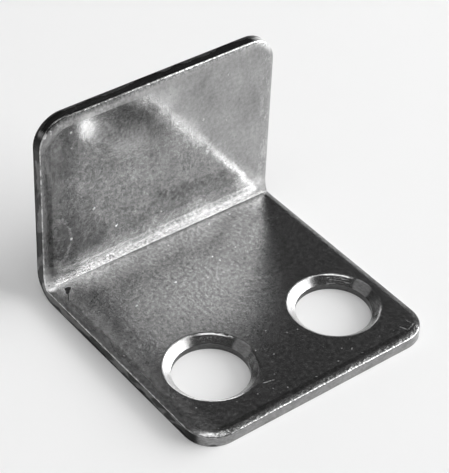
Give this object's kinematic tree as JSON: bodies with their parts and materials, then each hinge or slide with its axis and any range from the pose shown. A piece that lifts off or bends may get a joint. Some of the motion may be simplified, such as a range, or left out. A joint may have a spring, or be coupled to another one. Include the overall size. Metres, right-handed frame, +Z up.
{
  "type": "angle bracket",
  "caption": "Small right-angle bracket folded from plated steel sheet, with countersunk screw holes in the lying leaf and a plain upright leaf to stop or carry a panel.",
  "frame": {"origin": "middle of the bracket's box, on its underside", "axes": "+X along the fold, +Y from the free edge of the lying leaf towards the upright, +Z up out of the countersinks"},
  "size_m": [0.02, 0.0198, 0.015],
  "materials": {
    "plated_steel": "bright plated sheet steel, half mirror, with a fine rolled grain, faint specks and stains"
  },
  "bodies": {
    "root": {"bracket": "plated_steel"}
  },
  "joints": []
}
